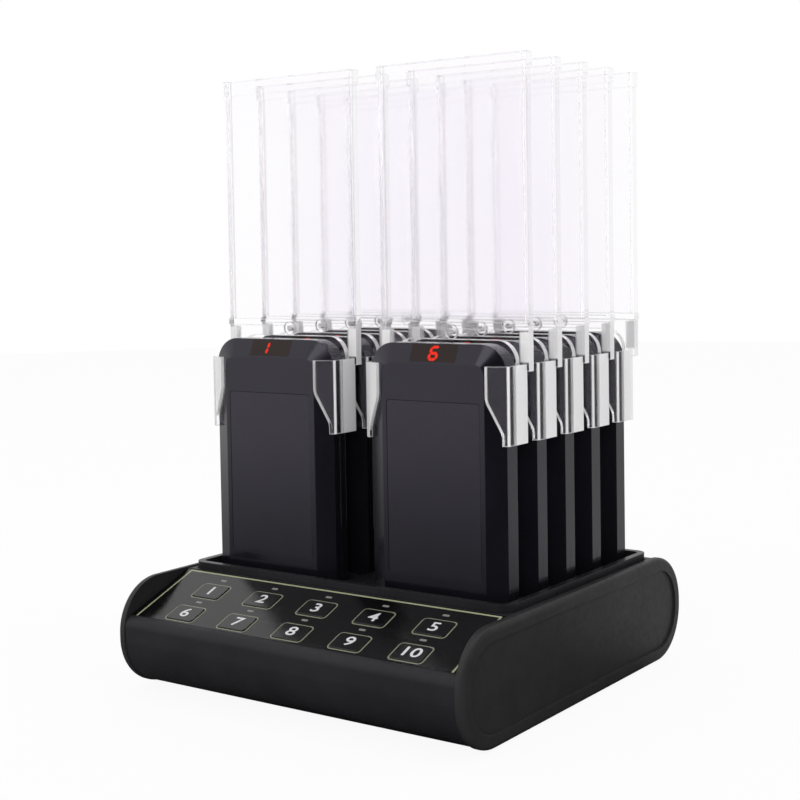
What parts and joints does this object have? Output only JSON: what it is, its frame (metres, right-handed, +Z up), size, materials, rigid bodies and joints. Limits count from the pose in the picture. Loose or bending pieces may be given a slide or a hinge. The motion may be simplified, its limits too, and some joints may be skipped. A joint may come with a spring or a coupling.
{
  "type": "guest pager system",
  "caption": "Desk-top charging rack for guest pagers with a sloped row of numbered keys; slim pagers stand in two columns, each clipped into a clear menu holder.",
  "frame": {"origin": "on the desk under the middle of the base, at the underside of the feet", "axes": "+X to the right seen from the keypad side, +Y from the keypad to the back, +Z up"},
  "size_m": [0.1852, 0.194, 0.2781],
  "materials": {
    "housing": "fine matt texture, charcoal",
    "end_cap": "satin charcoal",
    "rack": "satin black",
    "overlay": "gloss black film",
    "key": "gloss black",
    "pager_shell": "polished black",
    "window": "dark tinted window",
    "clear": "clear moulded acrylic",
    "circuit_board": "green board",
    "contact": "gold plated",
    "inlet": "black moulding with a metal pin",
    "foot": "soft black rubber"
  },
  "bodies": {
    "base": {"lower_housing": "housing", "upper_housing": "housing", "left_end_cap": "end_cap", "right_end_cap": "end_cap", "charging_rack": "rack", "keypad_overlay": "overlay", "circuit_boards": "circuit_board", "charging_contacts": "contact", "dc_jack": "inlet", "rubber_feet": "foot"},
    "key_1": {"key_1": "key"},
    "key_2": {"key_2": "key"},
    "key_3": {"key_3": "key"},
    "key_4": {"key_4": "key"},
    "key_5": {"key_5": "key"},
    "key_6": {"key_6": "key"},
    "key_7": {"key_7": "key"},
    "key_8": {"key_8": "key"},
    "key_9": {"key_9": "key"},
    "key_10": {"key_10": "key"},
    "pager_1": {"pager_1_front_shell": "pager_shell", "pager_1_rear_shell": "pager_shell", "pager_1_window": "window", "pager_1_menu_holder": "clear"},
    "pager_2": {"pager_2_front_shell": "pager_shell", "pager_2_rear_shell": "pager_shell", "pager_2_window": "window", "pager_2_menu_holder": "clear"},
    "pager_3": {"pager_3_front_shell": "pager_shell", "pager_3_rear_shell": "pager_shell", "pager_3_window": "window", "pager_3_menu_holder": "clear"},
    "pager_4": {"pager_4_front_shell": "pager_shell", "pager_4_rear_shell": "pager_shell", "pager_4_window": "window", "pager_4_menu_holder": "clear"},
    "pager_5": {"pager_5_front_shell": "pager_shell", "pager_5_rear_shell": "pager_shell", "pager_5_window": "window", "pager_5_menu_holder": "clear"},
    "pager_6": {"pager_6_front_shell": "pager_shell", "pager_6_rear_shell": "pager_shell", "pager_6_window": "window", "pager_6_menu_holder": "clear"},
    "pager_7": {"pager_7_front_shell": "pager_shell", "pager_7_rear_shell": "pager_shell", "pager_7_window": "window", "pager_7_menu_holder": "clear"},
    "pager_8": {"pager_8_front_shell": "pager_shell", "pager_8_rear_shell": "pager_shell", "pager_8_window": "window", "pager_8_menu_holder": "clear"},
    "pager_9": {"pager_9_front_shell": "pager_shell", "pager_9_rear_shell": "pager_shell", "pager_9_window": "window", "pager_9_menu_holder": "clear"},
    "pager_10": {"pager_10_front_shell": "pager_shell", "pager_10_rear_shell": "pager_shell", "pager_10_window": "window", "pager_10_menu_holder": "clear"}
  },
  "joints": [
    {"name": "key_1_press", "type": "slide", "parent": "base", "child": "key_1", "axis": [0, 0.3567, -0.9342], "range_m": [0, 0.0006], "stiffness_N_per_m": 1500, "springref_m": -0.0003},
    {"name": "key_2_press", "type": "slide", "parent": "base", "child": "key_2", "axis": [0, 0.3567, -0.9342], "range_m": [0, 0.0006], "stiffness_N_per_m": 1500, "springref_m": -0.0003},
    {"name": "key_3_press", "type": "slide", "parent": "base", "child": "key_3", "axis": [0, 0.3567, -0.9342], "range_m": [0, 0.0006], "stiffness_N_per_m": 1500, "springref_m": -0.0003},
    {"name": "key_4_press", "type": "slide", "parent": "base", "child": "key_4", "axis": [0, 0.3567, -0.9342], "range_m": [0, 0.0006], "stiffness_N_per_m": 1500, "springref_m": -0.0003},
    {"name": "key_5_press", "type": "slide", "parent": "base", "child": "key_5", "axis": [0, 0.3567, -0.9342], "range_m": [0, 0.0006], "stiffness_N_per_m": 1500, "springref_m": -0.0003},
    {"name": "key_6_press", "type": "slide", "parent": "base", "child": "key_6", "axis": [0, 0.3567, -0.9342], "range_m": [0, 0.0006], "stiffness_N_per_m": 1500, "springref_m": -0.0003},
    {"name": "key_7_press", "type": "slide", "parent": "base", "child": "key_7", "axis": [0, 0.3567, -0.9342], "range_m": [0, 0.0006], "stiffness_N_per_m": 1500, "springref_m": -0.0003},
    {"name": "key_8_press", "type": "slide", "parent": "base", "child": "key_8", "axis": [0, 0.3567, -0.9342], "range_m": [0, 0.0006], "stiffness_N_per_m": 1500, "springref_m": -0.0003},
    {"name": "key_9_press", "type": "slide", "parent": "base", "child": "key_9", "axis": [0, 0.3567, -0.9342], "range_m": [0, 0.0006], "stiffness_N_per_m": 1500, "springref_m": -0.0003},
    {"name": "key_10_press", "type": "slide", "parent": "base", "child": "key_10", "axis": [0, 0.3567, -0.9342], "range_m": [0, 0.0006], "stiffness_N_per_m": 1500, "springref_m": -0.0003},
    {"name": "pager_1_lift", "type": "slide", "parent": "base", "child": "pager_1", "axis": [0, 0, 1], "range_m": [0, 0.03]},
    {"name": "pager_2_lift", "type": "slide", "parent": "base", "child": "pager_2", "axis": [0, 0, 1], "range_m": [0, 0.03]},
    {"name": "pager_3_lift", "type": "slide", "parent": "base", "child": "pager_3", "axis": [0, 0, 1], "range_m": [0, 0.03]},
    {"name": "pager_4_lift", "type": "slide", "parent": "base", "child": "pager_4", "axis": [0, 0, 1], "range_m": [0, 0.03]},
    {"name": "pager_5_lift", "type": "slide", "parent": "base", "child": "pager_5", "axis": [0, 0, 1], "range_m": [0, 0.03]},
    {"name": "pager_6_lift", "type": "slide", "parent": "base", "child": "pager_6", "axis": [0, 0, 1], "range_m": [0, 0.03]},
    {"name": "pager_7_lift", "type": "slide", "parent": "base", "child": "pager_7", "axis": [0, 0, 1], "range_m": [0, 0.03]},
    {"name": "pager_8_lift", "type": "slide", "parent": "base", "child": "pager_8", "axis": [0, 0, 1], "range_m": [0, 0.03]},
    {"name": "pager_9_lift", "type": "slide", "parent": "base", "child": "pager_9", "axis": [0, 0, 1], "range_m": [0, 0.03]},
    {"name": "pager_10_lift", "type": "slide", "parent": "base", "child": "pager_10", "axis": [0, 0, 1], "range_m": [0, 0.03]}
  ]
}
